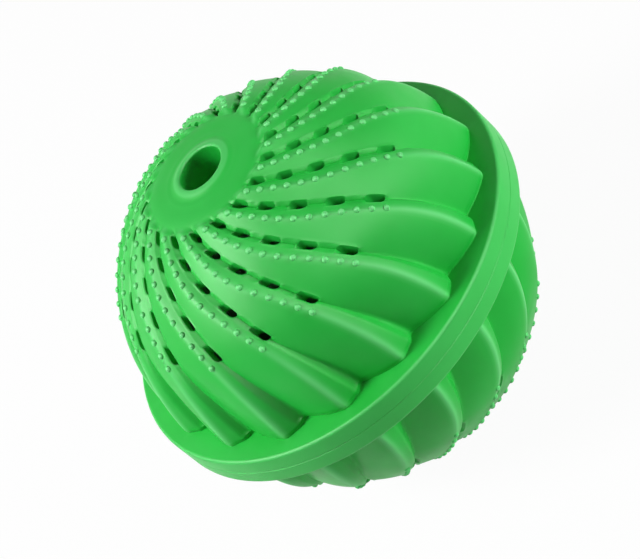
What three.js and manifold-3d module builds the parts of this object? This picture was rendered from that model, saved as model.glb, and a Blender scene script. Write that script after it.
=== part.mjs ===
// A ball that goes in the drum with the laundry. Two ridged half shells screw together round a tube that
// runs from pole to pole, a cross-shaped divider, and four charges of loose ceramic beads.
// Millimetres. The polar axis is +Z and the origin is the centre of the ball. Angles are in degrees,
// and a polar angle is measured from the nearer pole.
import * as THREE from "three";
import { mergeVertices } from "three/addons/utils/BufferGeometryUtils.js";
import Module from "manifold-3d";

// Band round the middle
const BAND_DIAMETER = 100;
const BAND_HEIGHT = 8.6;
const BAND_EDGE_ROUND = 1.1;
const BAND_SIDES = 72;
const PARTING_GAP = 0.3;
const PARTING_PLANE = 0.95;

// Ridges and grooves
const RIDGE_COUNT = 18;
const CREST_RADIUS = 46.9;
const GROOVE_DEPTH_AT_CAP = 1.0;
const GROOVE_DEPTH_AT_BAND = 4.4;
const DEEPENING_START = 50;
const DEEPENING_END = 80;
const FLANK_WIDTH = 2.9;
const FLANK_WIDTH_AT_BAND = 5.3;
const BEVEL_WIDTH = 1.6;
const BEVEL_WIDTH_AT_BAND = 2.6;
const SLOPE_MIDDLE_DROP = 0.42;
const PLAIN_ROWS = 4;
const WALL = 1.9;

// Swirl of the grooves
const GROOVE_LONGITUDE = 8.6;
const SWIRL_TURN = 41.8;
const SWIRL_POWER = 2.43;

// Water slots in each groove
const SLOT_COUNT = 5;
const FIRST_SLOT_ANGLE = 22.3;
const SLOT_STEP = 6.4;
const SLOT_STEP_GROWTH = 1.13;
const SLOT_LENGTH = 4.05;
const SLOT_LENGTH_GROWTH = 1.027;
const SLOT_WIDTH = 1.9;

// Polar cap, its mouth and the hub tube behind it
const CAP_EDGE_ANGLE = 19;
const CAP_MIDDLE_ANGLE = 15.5;
const POLE_HEIGHT = 44.95;
const POLE_FLAT_RADIUS = 9.5;
const MOUTH_RADIUS = 5.6;
const MOUTH_ROUND = 0.8;
const HUB_WALL = 2.0;
const COLLAR_LENGTH = 4.7;
const HUB_LENGTH = 5.4;
const HUB_SIDES = 36;

// Coarse thread that joins the halves
const SPIGOT_DEPTH = 7;
const SPIGOT_WALL = 1.8;
const THREAD_STARTS = 4;
const THREAD_LEAD = 36;
const THREAD_HEIGHT = 1.4;
const THREAD_ENGAGEMENT = 0.9;
const THREAD_CLEARANCE = 0.4;
const THREAD_ROOT = 0.4;
const LUG_SPAN = 24;
const RAMP_SPAN = 30;
const RIB_SECTIONS = 6;

// Tube between the hubs and the divider round it
const RUNNING_CLEARANCE = 0.3;
const TUBE_WALL = 1.7;
const SLEEVE_WALL = 1.5;
const SLEEVE_LENGTH = 60;
const FIN_COUNT = 4;
const FIN_THICKNESS = 1.8;
const FIN_CLEARANCE = 1.0;
const FIN_SPIGOT_CLEARANCE = 0.5;
const FIN_ARC_STEPS = 8;

// Ceramic beads
const BEAD_DIAMETER = 10;
const BEAD_WALL_GAP = 0.75;
const BEAD_GAP = 0.4;
const BEAD_RINGS = 3;
const BEAD_KINDS = [
  ["ivory", 0xeae4d2],
  ["grey", 0x8f9391],
  ["pink", 0xd9a79a],
  ["tan", 0xb98d5f],
];

// Sizes that follow from the driving ones
const bandRadius = BAND_DIAMETER / 2;
const pitch = 360 / RIDGE_COUNT;
const capRadius = CREST_RADIUS - GROOVE_DEPTH_AT_CAP;
const hubRadius = MOUTH_RADIUS + HUB_WALL;
const tubeBore = hubRadius + RUNNING_CLEARANCE;
const tubeRadius = tubeBore + TUBE_WALL;
const collarTop = POLE_HEIGHT - WALL;
const collarHeight = collarTop - COLLAR_LENGTH;
const hubHeight = collarHeight - HUB_LENGTH;
const sleeveBore = tubeRadius + RUNNING_CLEARANCE;
const sleeveRadius = sleeveBore + SLEEVE_WALL;
const neckSphere = CREST_RADIUS - GROOVE_DEPTH_AT_BAND - WALL;
const neckHeight = PARTING_PLANE + SPIGOT_DEPTH;
const neckRadius = Math.sqrt(neckSphere ** 2 - neckHeight ** 2);
const lugRadius = neckRadius - THREAD_CLEARANCE;
const rampRadius = lugRadius - THREAD_ENGAGEMENT;
const spigotRadius = rampRadius - THREAD_CLEARANCE;
const spigotBore = spigotRadius - SPIGOT_WALL;
const spigotEnd = PARTING_PLANE - SPIGOT_DEPTH + RUNNING_CLEARANCE;
const chamberSpan = 360 / FIN_COUNT;
const beadRadius = BEAD_DIAMETER / 2;

const rad = THREE.MathUtils.degToRad;
const deg = THREE.MathUtils.radToDeg;

const wasm = await Module();
wasm.setup();

// A closed surface, gathered ring by ring. Rings run counter-clockwise seen from +Z, and a band between
// two rings faces out when the profile runs from the pole down the outside and back up the inside.
class Skin {
  points = [];
  triangles = [];

  ring(points) {
    const first = this.points.length;
    this.points.push(...points);
    return points.map((_, i) => first + i);
  }

  circle(radius, height, sides) {
    const turns = Array.from({ length: sides }, (_, i) => (2 * Math.PI * i) / sides);
    return this.ring(turns.map((t) => new THREE.Vector3(radius * Math.cos(t), radius * Math.sin(t), height)));
  }

  quad(a, b, c, d) {
    this.triangles.push(a, b, c, a, c, d);
  }

  // Joins two rings of equal count, leaving out the cells that open says are open.
  band(from, to, open = () => false) {
    from.forEach((a, i) => {
      const next = (i + 1) % from.length;
      if (!open(i)) this.quad(a, to[i], to[next], from[next]);
    });
  }

  // Joins two rings of any counts by always stepping along the ring whose next point comes first.
  seam(from, to) {
    const start = this.azimuth(from[0]);
    const ahead = (index) => THREE.MathUtils.euclideanModulo(this.azimuth(index) - start, 2 * Math.PI);
    const nearest = to.reduce((best, index, i) => (ahead(index) < ahead(to[best]) ? i : best), 0);
    const other = [...to.slice(nearest), ...to.slice(0, nearest)];
    const place = (ring, i) => (i < ring.length ? ahead(ring[i]) : 2 * Math.PI + ahead(ring[0]));
    let a = 0;
    let b = 0;
    while (a < from.length || b < other.length) {
      const stepFrom = b === other.length || (a < from.length && place(from, a + 1) <= place(other, b + 1));
      const left = from[a % from.length];
      const right = other[b % other.length];
      if (stepFrom) this.triangles.push(left, right, from[++a % from.length]);
      else this.triangles.push(left, right, other[++b % other.length]);
    }
  }

  azimuth(index) {
    return Math.atan2(this.points[index].y, this.points[index].x);
  }

  geometry() {
    const made = new THREE.BufferGeometry().setFromPoints(this.points);
    return made.setIndex(this.triangles);
  }
}

function toSolid(geometry) {
  const bare = geometry.clone();
  bare.deleteAttribute("normal");
  bare.deleteAttribute("uv");
  const merged = mergeVertices(bare);
  const mesh = new wasm.Mesh({
    numProp: 3,
    vertProperties: new Float32Array(merged.attributes.position.array),
    triVerts: new Uint32Array(merged.index.array),
  });
  return new wasm.Manifold(mesh);
}

function join(geometries) {
  const whole = geometries.map(toSolid).reduce((sum, piece) => sum.add(piece));
  const mesh = whole.getMesh();
  const made = new THREE.BufferGeometry();
  made.setAttribute("position", new THREE.BufferAttribute(mesh.vertProperties, 3));
  made.setIndex(new THREE.BufferAttribute(mesh.triVerts, 1));
  made.computeVertexNormals();
  return made;
}

function mirrored(geometry) {
  const made = geometry.clone().applyMatrix4(new THREE.Matrix4().makeScale(1, 1, -1));
  made.setIndex(Array.from(made.index.array).reverse());
  return made;
}

function turned(profile, sides) {
  const points = profile.map(([radius, height]) => new THREE.Vector2(radius, height));
  return new THREE.LatheGeometry(points, sides).rotateX(Math.PI / 2);
}

function onSphere(radius, angle, longitude) {
  const out = radius * Math.sin(rad(angle));
  const height = radius * Math.cos(rad(angle));
  const turn = rad(longitude);
  return new THREE.Vector3(out * Math.cos(turn), out * Math.sin(turn), height);
}

function deepening(angle) {
  return THREE.MathUtils.smoothstep(angle, DEEPENING_START, DEEPENING_END);
}

// How far below the crests the grooves lie, growing from the slots towards the band.
function grooveDepth(angle) {
  return THREE.MathUtils.lerp(GROOVE_DEPTH_AT_CAP, GROOVE_DEPTH_AT_BAND, deepening(angle));
}

function innerRadius(angle) {
  return CREST_RADIUS - grooveDepth(angle) - WALL;
}

// Longitude of a groove, which turns quickly near the cap and straightens towards the band.
function grooveLongitude(angle) {
  const climb = (90 - angle) / (90 - FIRST_SLOT_ANGLE);
  return GROOVE_LONGITUDE + SWIRL_TURN * (1 - climb ** SWIRL_POWER);
}

// Tangent of the angle between a groove and the meridian.
function grooveSlant(angle) {
  const reach = 90 - FIRST_SLOT_ANGLE;
  const rate = ((SWIRL_TURN * SWIRL_POWER) / reach) * ((90 - angle) / reach) ** (SWIRL_POWER - 1);
  return rate * Math.sin(rad(angle));
}

// Longitudes of the two slot edges beside the groove line.
function slotEdges(angle) {
  const across = (SLOT_WIDTH / 2) * Math.hypot(1, grooveSlant(angle));
  const half = deg(across / (CREST_RADIUS * Math.sin(rad(angle))));
  return [grooveLongitude(angle) - half, grooveLongitude(angle) + half];
}

// One ridge from slot edge to slot edge, up the long slope to the crest and down to the edge of the bevel:
// longitude and the share of the groove's depth. Below the slots the groove moves away from its crest,
// so that the flank widens towards the band.
function ridgeColumns(angle) {
  const perMillimetre = deg(1 / (CREST_RADIUS * Math.sin(rad(angle))));
  const widening = (FLANK_WIDTH_AT_BAND - FLANK_WIDTH) * deepening(angle) * perMillimetre;
  const bevel = THREE.MathUtils.lerp(BEVEL_WIDTH, BEVEL_WIDTH_AT_BAND, deepening(angle)) * perMillimetre;
  const [before, after] = slotEdges(angle).map((longitude) => longitude + widening);
  const crest = grooveLongitude(angle) + pitch - FLANK_WIDTH * perMillimetre;
  return [
    [before, 1],
    [after, 1],
    [(after + crest) / 2, SLOPE_MIDDLE_DROP],
    [crest, 0],
    [crest + bevel, GROOVE_DEPTH_AT_CAP / grooveDepth(angle)],
  ];
}

function aroundRidges(columns) {
  const ridges = Array.from({ length: RIDGE_COUNT }, (_, ridge) => ridge * pitch);
  return ridges.flatMap((shift) => columns.map(([longitude, drop]) => [longitude + shift, drop]));
}

function domeRow(angle) {
  const place = ([longitude, drop]) => onSphere(CREST_RADIUS - drop * grooveDepth(angle), angle, longitude);
  return aroundRidges(ridgeColumns(angle)).map(place);
}

function innerRow(angle) {
  const edges = slotEdges(angle).map((longitude) => [longitude, 1]);
  return aroundRidges(edges).map(([longitude]) => onSphere(innerRadius(angle), angle, longitude));
}

// Last row of the ridges, where they run out on the flat top of the band.
function ridgeEndRow(shelf) {
  return aroundRidges(ridgeColumns(DEEPENING_END)).map(([longitude, drop]) => {
    const radius = CREST_RADIUS - drop * GROOVE_DEPTH_AT_BAND;
    return onSphere(radius, deg(Math.acos(shelf / radius)), longitude);
  });
}

// Polar angles where each slot starts and ends.
function slotSpans() {
  const spans = [];
  let centre = FIRST_SLOT_ANGLE;
  for (let slot = 0; slot < SLOT_COUNT; slot++) {
    const length = SLOT_LENGTH * SLOT_LENGTH_GROWTH ** slot;
    const half = deg(length / 2 / capRadius / Math.hypot(1, grooveSlant(centre)));
    spans.push([centre - half, centre + half]);
    centre += SLOT_STEP * SLOT_STEP_GROWTH ** slot;
  }
  return spans;
}

// The mouth and the smooth cap round it, from the bottom of the hub's bore to the cap's edge.
function addCapOutside(skin, firstRow) {
  const middle = onSphere(capRadius, CAP_MIDDLE_ANGLE, 0);
  const rings = [
    [MOUTH_RADIUS, hubHeight],
    [MOUTH_RADIUS, POLE_HEIGHT - MOUTH_ROUND],
    [MOUTH_RADIUS + MOUTH_ROUND * (1 - Math.SQRT1_2), POLE_HEIGHT - MOUTH_ROUND * (1 - Math.SQRT1_2)],
    [MOUTH_RADIUS + MOUTH_ROUND, POLE_HEIGHT],
    [POLE_FLAT_RADIUS, POLE_HEIGHT],
    [middle.x, middle.z],
  ].map(([radius, height]) => skin.circle(radius, height, HUB_SIDES));
  rings.slice(1).forEach((ring, i) => skin.band(rings[i], ring));
  skin.seam(rings.at(-1), firstRow);
  return rings[0];
}

// The hub tube and its collar, from the inside of the dome to the bottom of the hub's bore.
function addHub(skin, lastRow, boreEnd) {
  const rings = [
    [tubeRadius, collarTop],
    [tubeRadius, collarHeight],
    [hubRadius, collarHeight],
    [hubRadius, hubHeight],
  ].map(([radius, height]) => skin.circle(radius, height, HUB_SIDES));
  skin.seam(lastRow, rings[0]);
  rings.slice(1).forEach((ring, i) => skin.band(rings[i], ring));
  skin.band(rings.at(-1), boreEnd);
}

// The band's rounded edge and outer face, from the ends of the ridges to the parting face.
function addBand(skin, ridgeEnds, shelf, face) {
  const corner = bandRadius - BAND_EDGE_ROUND;
  const arc = [90, 45, 0].map((turn) => [
    corner + BAND_EDGE_ROUND * Math.cos(rad(turn)),
    shelf - BAND_EDGE_ROUND + BAND_EDGE_ROUND * Math.sin(rad(turn)),
  ]);
  const rings = [...arc, [bandRadius, face]].map(([r, z]) => skin.circle(r, z, BAND_SIDES));
  skin.seam(ridgeEnds, rings[0]);
  rings.slice(1).forEach((ring, i) => skin.band(rings[i], ring));
  return rings.at(-1);
}

// One half shell with its pole up. Its parting face lies at a height over the ball's centre, and the joint is
// the profile from that face inwards.
function halfShell(face, joint) {
  const skin = new Skin();
  const shelf = face + (BAND_HEIGHT - PARTING_GAP) / 2;
  const spans = slotSpans();
  const lastSlotEnd = spans.at(-1)[1];
  const plainStep = (DEEPENING_END - lastSlotEnd) / PLAIN_ROWS;
  const plainAngles = Array.from({ length: PLAIN_ROWS }, (_, i) => lastSlotEnd + plainStep * (i + 1));

  const capEdge = ridgeColumns(CAP_EDGE_ANGLE);
  const capPoints = aroundRidges(capEdge).map(([longitude]) => onSphere(capRadius, CAP_EDGE_ANGLE, longitude));
  const capRow = skin.ring(capPoints);
  const slotRows = spans.flat().map((angle) => skin.ring(domeRow(angle)));
  const plainRows = plainAngles.map((angle) => skin.ring(domeRow(angle)));
  const endRow = skin.ring(ridgeEndRow(shelf));
  const outer = [capRow, ...slotRows, ...plainRows, endRow];
  const columns = capEdge.length;
  outer.slice(1).forEach((row, i) => {
    const slotted = i % 2 === 1 && i < 2 * SLOT_COUNT;
    skin.band(outer[i], row, (cell) => slotted && cell % columns === 0);
  });

  const boreEnd = addCapOutside(skin, capRow);
  const rim = addBand(skin, endRow, shelf, face);
  const jointRings = joint.map(([radius, height]) => skin.circle(radius, height, HUB_SIDES));
  skin.seam(rim, jointRings[0]);
  jointRings.slice(1).forEach((ring, i) => skin.band(jointRings[i], ring));

  const innerSlotRows = spans.flat().map((angle) => skin.ring(innerRow(angle)));
  const innerPlainRows = plainAngles.slice(0, -1).map((angle) => skin.ring(innerRow(angle)));
  const inner = [...innerSlotRows, ...innerPlainRows];
  skin.seam(jointRings.at(-1), inner.at(-1));
  inner.slice(1).forEach((row, i) => {
    const slotted = i % 2 === 0 && i < 2 * SLOT_COUNT;
    skin.band(row, inner[i], (cell) => slotted && cell % 2 === 0);
  });
  addHub(skin, inner[0], boreEnd);

  spans.forEach((_, slot) => {
    const [outA, outB] = slotRows.slice(2 * slot);
    const [inA, inB] = innerSlotRows.slice(2 * slot);
    for (let ridge = 0; ridge < RIDGE_COUNT; ridge++) {
      const [o, n] = [ridge * columns, ridge * 2];
      const outside = [outA[o], outB[o], outB[o + 1], outA[o + 1]];
      const inside = [inA[n], inB[n], inB[n + 1], inA[n + 1]];
      outside.forEach((corner, i) => {
        const next = (i + 1) % outside.length;
        skin.quad(corner, outside[next], inside[next], inside[i]);
      });
    }
  });
  return skin.geometry();
}

function threadClimb(turn) {
  return (THREAD_LEAD * turn) / 360;
}

// A rib of rectangular section that climbs along the thread's helix, centred on a longitude and a height.
function threadRib(inRadius, outRadius, span, longitude, height) {
  const skin = new Skin();
  const sections = Array.from({ length: RIB_SECTIONS + 1 }, (_, i) => {
    const along = span * (i / RIB_SECTIONS - 0.5);
    const middle = height + threadClimb(along);
    const turn = rad(longitude + along);
    const corners = [
      [inRadius, -1],
      [outRadius, -1],
      [outRadius, 1],
      [inRadius, 1],
    ];
    return skin.ring(
      corners.map(([radius, side]) => {
        const z = middle + (side * THREAD_HEIGHT) / 2;
        return new THREE.Vector3(radius * Math.cos(turn), radius * Math.sin(turn), z);
      }),
    );
  });
  sections.slice(1).forEach((section, i) => skin.band(sections[i], section));
  skin.quad(...sections[0]);
  skin.quad(...sections.at(-1).reverse());
  return skin.geometry();
}

function threadRibs(inRadius, outRadius, span, height) {
  const longitudes = Array.from({ length: THREAD_STARTS }, (_, start) => (start * 360) / THREAD_STARTS);
  return longitudes.map((longitude) => threadRib(inRadius, outRadius, span, longitude, height));
}

// The lugs lie as low on the spigot as their own climb allows, and the ramps just above them.
const lugHeight = spigotEnd + THREAD_HEIGHT / 2 + threadClimb(LUG_SPAN / 2);
const rampHeight = lugHeight + THREAD_HEIGHT + RUNNING_CLEARANCE;

function upperShell() {
  const face = PARTING_PLANE + PARTING_GAP / 2;
  const spigot = [
    [spigotRadius, face],
    [spigotRadius, spigotEnd],
    [spigotBore, spigotEnd],
    [spigotBore, neckHeight],
    [neckRadius, neckHeight],
  ];
  const lugs = threadRibs(spigotRadius - THREAD_ROOT, lugRadius, LUG_SPAN, lugHeight);
  return join([halfShell(face, spigot), ...lugs]);
}

function lowerShell() {
  const face = PARTING_GAP / 2 - PARTING_PLANE;
  const socket = [
    [neckRadius, face],
    [neckRadius, SPIGOT_DEPTH - PARTING_PLANE],
  ];
  const ramps = threadRibs(rampRadius, neckRadius + THREAD_ROOT, RAMP_SPAN, rampHeight);
  return join([mirrored(halfShell(face, socket)), ...ramps]);
}

function coreTube() {
  const end = collarHeight - RUNNING_CLEARANCE;
  const wall = [
    [tubeBore, -end],
    [tubeRadius, -end],
    [tubeRadius, end],
    [tubeBore, end],
    [tubeBore, -end],
  ];
  return turned(wall, HUB_SIDES);
}

// Flat fin between the sleeve and the inside of the shells, narrow enough to pass the spigot. Its edge runs
// straight under the cap, round along the dome and straight again past the spigot.
function fin(longitude) {
  const root = (sleeveBore + sleeveRadius) / 2;
  const reach = innerRadius(0) - FIN_CLEARANCE;
  const underCap = collarTop - FIN_CLEARANCE;
  const top = rad(90 - slotSpans()[0][0]);
  const shoulder = Math.acos((spigotBore - FIN_SPIGOT_CLEARANCE) / reach);
  const outline = new THREE.Shape();
  outline.absarc(0, 0, reach, -top, -shoulder, false);
  outline.absarc(0, 0, reach, shoulder, top, false);
  outline.lineTo(root, underCap);
  outline.lineTo(root, -underCap);
  outline.closePath();
  const made = new THREE.ExtrudeGeometry(outline, {
    depth: FIN_THICKNESS,
    bevelEnabled: false,
    curveSegments: FIN_ARC_STEPS,
  });
  made.translate(0, 0, -FIN_THICKNESS / 2);
  return made.rotateX(Math.PI / 2).rotateZ(rad(longitude));
}

function chamberDivider() {
  const end = SLEEVE_LENGTH / 2;
  const wall = [
    [sleeveBore, -end],
    [sleeveRadius, -end],
    [sleeveRadius, end],
    [sleeveBore, end],
    [sleeveBore, -end],
  ];
  const fins = Array.from({ length: FIN_COUNT }, (_, i) => fin(i * chamberSpan));
  return join([turned(wall, HUB_SIDES), ...fins]);
}

// Places of the beads of one chamber, in rings up the inside of the lower shell.
function beadPlaces(chamber) {
  const middle = chamberSpan * (chamber + 0.5);
  const seat = (angle) => innerRadius(angle) - beadRadius - BEAD_WALL_GAP;
  const finSide = FIN_THICKNESS / 2 + beadRadius + BEAD_GAP;
  const places = [];
  let angle = deg(Math.asin((sleeveRadius + beadRadius + BEAD_GAP) / seat(0)));
  for (let ring = 0; ring < BEAD_RINGS; ring++) {
    const out = seat(angle) * Math.sin(rad(angle));
    const room = chamberSpan - 2 * deg(Math.asin(finSide / out));
    const step = 2 * deg(Math.asin((beadRadius + BEAD_GAP / 2) / out));
    const count = 1 + Math.floor(room / step);
    for (let bead = 0; bead < count; bead++) {
      const longitude = middle + step * (bead - (count - 1) / 2);
      places.push(onSphere(seat(angle), angle, longitude).multiply(new THREE.Vector3(1, 1, -1)));
    }
    angle += 2 * deg(Math.asin((beadRadius + BEAD_GAP) / seat(angle)));
  }
  return places;
}

function plastic(color, roughness) {
  return new THREE.MeshStandardMaterial({ color, roughness, metalness: 0 });
}

const ball = new THREE.Group();

function addPiece(name, geometry, material) {
  const mesh = new THREE.Mesh(geometry, material);
  mesh.name = name;
  ball.add(mesh);
  return mesh;
}

const green = plastic(0x3fba59, 0.42);
const paleGreen = plastic(0xa9d9b0, 0.5);
addPiece("upper_shell", upperShell(), green);
addPiece("lower_shell", lowerShell(), green);
addPiece("core_tube", coreTube(), paleGreen);
addPiece("chamber_divider", chamberDivider(), paleGreen);
BEAD_KINDS.forEach(([kind, color], chamber) => {
  const ceramic = new THREE.MeshStandardMaterial({ color, roughness: 0.55, metalness: 0 });
  beadPlaces(chamber).forEach((place, i) => {
    const bead = addPiece(`${kind}_bead_${i + 1}`, new THREE.IcosahedronGeometry(beadRadius, 1), ceramic);
    bead.position.copy(place);
  });
});

export default ball;
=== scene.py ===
# %% [markdown]
# # A laundry ball, from its ridges to its beads
# The ball goes into the drum with the washing. Two ridged half shells screw together round a tube that runs
# from pole to pole, a cross-shaped divider and four charges of ceramic beads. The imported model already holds
# every piece at its true size, so this lesson starts by loading it as a fixed frame, and keeps its box.

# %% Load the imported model
import bpy
import numpy as np
from mathutils import Matrix, Vector


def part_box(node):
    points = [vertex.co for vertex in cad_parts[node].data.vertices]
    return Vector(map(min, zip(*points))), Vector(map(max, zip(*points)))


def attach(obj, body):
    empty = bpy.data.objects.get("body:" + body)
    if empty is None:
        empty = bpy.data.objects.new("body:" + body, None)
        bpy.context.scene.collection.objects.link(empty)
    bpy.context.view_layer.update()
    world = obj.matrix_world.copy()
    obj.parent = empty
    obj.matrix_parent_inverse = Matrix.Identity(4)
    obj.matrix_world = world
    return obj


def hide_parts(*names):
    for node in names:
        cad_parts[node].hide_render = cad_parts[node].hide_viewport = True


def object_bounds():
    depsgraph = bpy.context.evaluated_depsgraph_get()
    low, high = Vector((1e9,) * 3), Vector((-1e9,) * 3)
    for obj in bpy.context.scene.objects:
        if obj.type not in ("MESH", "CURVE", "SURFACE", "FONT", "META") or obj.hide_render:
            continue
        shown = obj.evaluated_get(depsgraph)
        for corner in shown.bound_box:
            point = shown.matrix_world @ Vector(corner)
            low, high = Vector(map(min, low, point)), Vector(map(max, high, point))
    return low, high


MM = 0.001
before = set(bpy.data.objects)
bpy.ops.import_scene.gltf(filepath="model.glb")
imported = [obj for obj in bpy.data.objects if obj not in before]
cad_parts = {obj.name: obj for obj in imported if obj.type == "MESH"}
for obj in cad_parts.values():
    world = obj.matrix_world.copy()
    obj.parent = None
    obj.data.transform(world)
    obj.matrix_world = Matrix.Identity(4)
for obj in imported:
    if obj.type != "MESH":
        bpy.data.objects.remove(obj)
scene = bpy.context.scene
cad_box = [list(corner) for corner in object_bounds()]

# %% [markdown]
# ## The camera
# The photograph's view fits a camera about 60 cm from the ball and 36 degrees above the plane of its band,
# with the band running steeply across the picture. A camera can be aimed with a constraint, but then its roll
# is hard to set. Here its three axes are written out instead: back from the ball, then right and up turned
# about that line by the roll.

# %% Place the camera
ELEVATION = np.radians(36.3)
ROLL = np.radians(49.13)
DISTANCE = 616.2 * MM
LENS = 155.5
SENSOR_WIDTH = 36
ASIDE = -1.65 * MM
BELOW = -0.22 * MM

back = Vector((0, -np.cos(ELEVATION), np.sin(ELEVATION)))
level = Vector((1, 0, 0))
upright = Vector((0, np.sin(ELEVATION), np.cos(ELEVATION)))
right = level * np.cos(ROLL) - upright * np.sin(ROLL)
up = level * np.sin(ROLL) + upright * np.cos(ROLL)

camera = bpy.data.objects.new("camera", bpy.data.cameras.new("camera"))
camera.data.lens = LENS
camera.data.sensor_width = SENSOR_WIDTH
axes = Matrix((right, up, back)).transposed().to_4x4()
camera.matrix_world = Matrix.Translation(back * DISTANCE + right * ASIDE + up * BELOW) @ axes
scene.collection.objects.link(camera)
scene.camera = camera
print("camera at", [round(v / MM) for v in camera.matrix_world.translation], "mm")

# %% [markdown]
# ## The swirl of the grooves
# Eighteen grooves leave the polar cap, swing round quickly and straighten towards the band. A curve object
# could draw one, but every other shape on the shell is placed by it, so it is a formula: the longitude of a
# groove at a polar angle, which is measured from the pole.

# %% Lines of the grooves
RIDGES = 18
PITCH = 360 / RIDGES
CREST_RADIUS = 46.9 * MM
FIRST_SLOT = 22.3
GROOVE_START = 8.6
SWIRL_TURN = 41.8
SWIRL_POWER = 2.43


def groove_line(angle):
    """Longitude of the slot row: the start plus the whole turn times one less a power of the climb."""
    climb = (90 - angle) / (90 - FIRST_SLOT)
    return GROOVE_START + SWIRL_TURN * (1 - climb ** SWIRL_POWER)


def groove_slant(angle):
    """Tangent of the angle between slot row and meridian: the rate of the longitude times the sine."""
    climb = (90 - angle) / (90 - FIRST_SLOT)
    rate = SWIRL_TURN * SWIRL_POWER / (90 - FIRST_SLOT) * climb ** (SWIRL_POWER - 1)
    return rate * np.sin(np.radians(angle))


def pitch_width(angle):
    """Distance from groove to groove along a parallel: the pitch in radians times the parallel's radius."""
    return np.radians(PITCH) * CREST_RADIUS * np.sin(np.radians(angle))


print("grooves:", RIDGES, "that swing", SWIRL_TURN, "degrees round")

# %% [markdown]
# A crest runs beside each groove, a little clockwise of it, and below the last slot the groove leaves its crest
# so that a broad flank opens. Values that change on the way down are written in pairs and blended by a smooth
# step.

# %% Crests beside the grooves
SLOTS_END = 55
CREST_LAG = 2.8 * MM, 2.55 * MM
LAG_ANGLES = 52, 62
BOW = 1.15 * MM
BOW_MIDDLE = 37.5
BOW_SPREAD = 9
WIDENING = 2.6 * MM
WIDENING_SPAN = 27
WIDENING_POWER = 1.2
SHALLOW_DEPTH = 1.0 * MM
FULL_DEPTH = 4.4 * MM
DEPTH_ANGLES = 50, 81


def ease(value, start, end):
    """Smooth step: with t the share of the way from start to end, kept within 0 and 1, gives 3t^2 - 2t^3."""
    share = np.clip((value - start) / (end - start), 0, 1)
    return share * share * (3 - 2 * share)


def blend(ends, share):
    """A value between two ends: the first plus the share times the step to the second."""
    return ends[0] + share * (ends[1] - ends[0])


def crest_lag(angle):
    """Distance from a crest on to its slot row: a blended pair, plus a bell curve where the row bows out."""
    bow = BOW * np.exp(-(((angle - BOW_MIDDLE) / BOW_SPREAD) ** 2))
    return blend(CREST_LAG, ease(angle, *LAG_ANGLES)) + bow


def groove_widening(angle):
    """How far the groove lies beyond the slot row: a power of the share of the way down to the band."""
    return WIDENING * np.clip((angle - SLOTS_END) / WIDENING_SPAN, 0, 1) ** WIDENING_POWER


def crest_place(angle):
    """Distance from a groove on to its crest: the pitch less the crest's lag and the widening."""
    return pitch_width(angle) - crest_lag(angle) - groove_widening(angle)


def groove_depth(angle):
    """Depth below the crests: shallow along the slots, eased to its full depth at the band."""
    return blend((SHALLOW_DEPTH, FULL_DEPTH), ease(angle, *DEPTH_ANGLES))


print("flank at the band:", round((crest_lag(90) + groove_widening(90)) / MM, 1), "mm wide")

# %% [markdown]
# ## One ridge in section
# Cut along a parallel, a ridge is a saw tooth: a long, slightly crowned slope climbs to the crest, a narrow
# bevel falls away from it, and a steep flank drops to the next groove. Bevel modifiers would need clean
# edges to work on. A height formula is simpler: each face is a line, the ridge is the lowest of its faces,
# and a rounded maximum of their drops blends them where they cross, so each edge gets its own radius.

# %% Height of the ridges
RELIEF_END = 80
BEVEL_SLOPE = 0.36, 0.5
BEVEL_WIDTH = 3.8 * MM
BEVEL_SAG = 0.25 * MM
FLANK_SLOPE = 1.9
SLOPE_CROWN = 0.2
CREST_ROUND = 0.12 * MM, 0.34 * MM
BEVEL_ROUND = 0.05 * MM, 0.4 * MM
GROOVE_ROUND = 0.06 * MM, 0.56 * MM
CREASE_DEPTH = 0.5 * MM
CREASE_HALF = 0.36 * MM
CREASE_END = 58


def rounded_max(a, b, radius):
    """The larger value with a rounded corner: half of a + b + the root of (a - b)^2 + 4 radius^2."""
    return (a + b + np.sqrt((a - b) ** 2 + 4 * radius ** 2)) / 2


def rounded_min(a, b, radius):
    """The smaller value with a rounded corner, which is the rounded maximum of both turned about zero."""
    return -rounded_max(-a, -b, radius)


def lowness(angle):
    """Share of the way from the last slot down to the band, as a smooth step."""
    return ease(angle, SLOTS_END, RELIEF_END)


def one_ridge(angle, across):
    """Drop below the crest sphere: the rounded maximum of crowned slope, sagging bevel and flank line."""
    low = lowness(angle)
    depth = groove_depth(angle)
    climb = across / crest_place(angle)
    past = across - crest_place(angle)
    slope = depth * (1 - climb) * (1 - SLOPE_CROWN * climb)
    beside = np.clip(past / BEVEL_WIDTH, 0, 1)
    sag = low * BEVEL_SAG * 4 * beside * (1 - beside)
    bevel = past * blend(BEVEL_SLOPE, low) + sag
    steep = depth - FLANK_SLOPE * (pitch_width(angle) - across)
    crest = rounded_max(slope, bevel, blend(CREST_ROUND, low))
    return rounded_max(crest, steep, blend(BEVEL_ROUND, low))


def ridge_drop(angle, across):
    """Drop of the whole relief: the rounded minimum of a ridge and its neighbours, plus the slot crease."""
    span = pitch_width(angle)
    fillet = blend(GROOVE_ROUND, lowness(angle))
    before = one_ridge(angle, across + span)
    after = one_ridge(angle, across - span)
    drop = rounded_min(rounded_min(one_ridge(angle, across), before, fillet), after, fillet)
    nearest = np.minimum(np.abs(across), np.abs(across - span))
    crease = CREASE_DEPTH * np.exp(-((nearest / CREASE_HALF) ** 2))
    return drop + crease * (1 - ease(angle, SLOTS_END, CREASE_END))


print("groove below crest:", round(float(ridge_drop(FIRST_SLOT, 0.0)) / MM, 2), "mm at the first slot")

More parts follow.
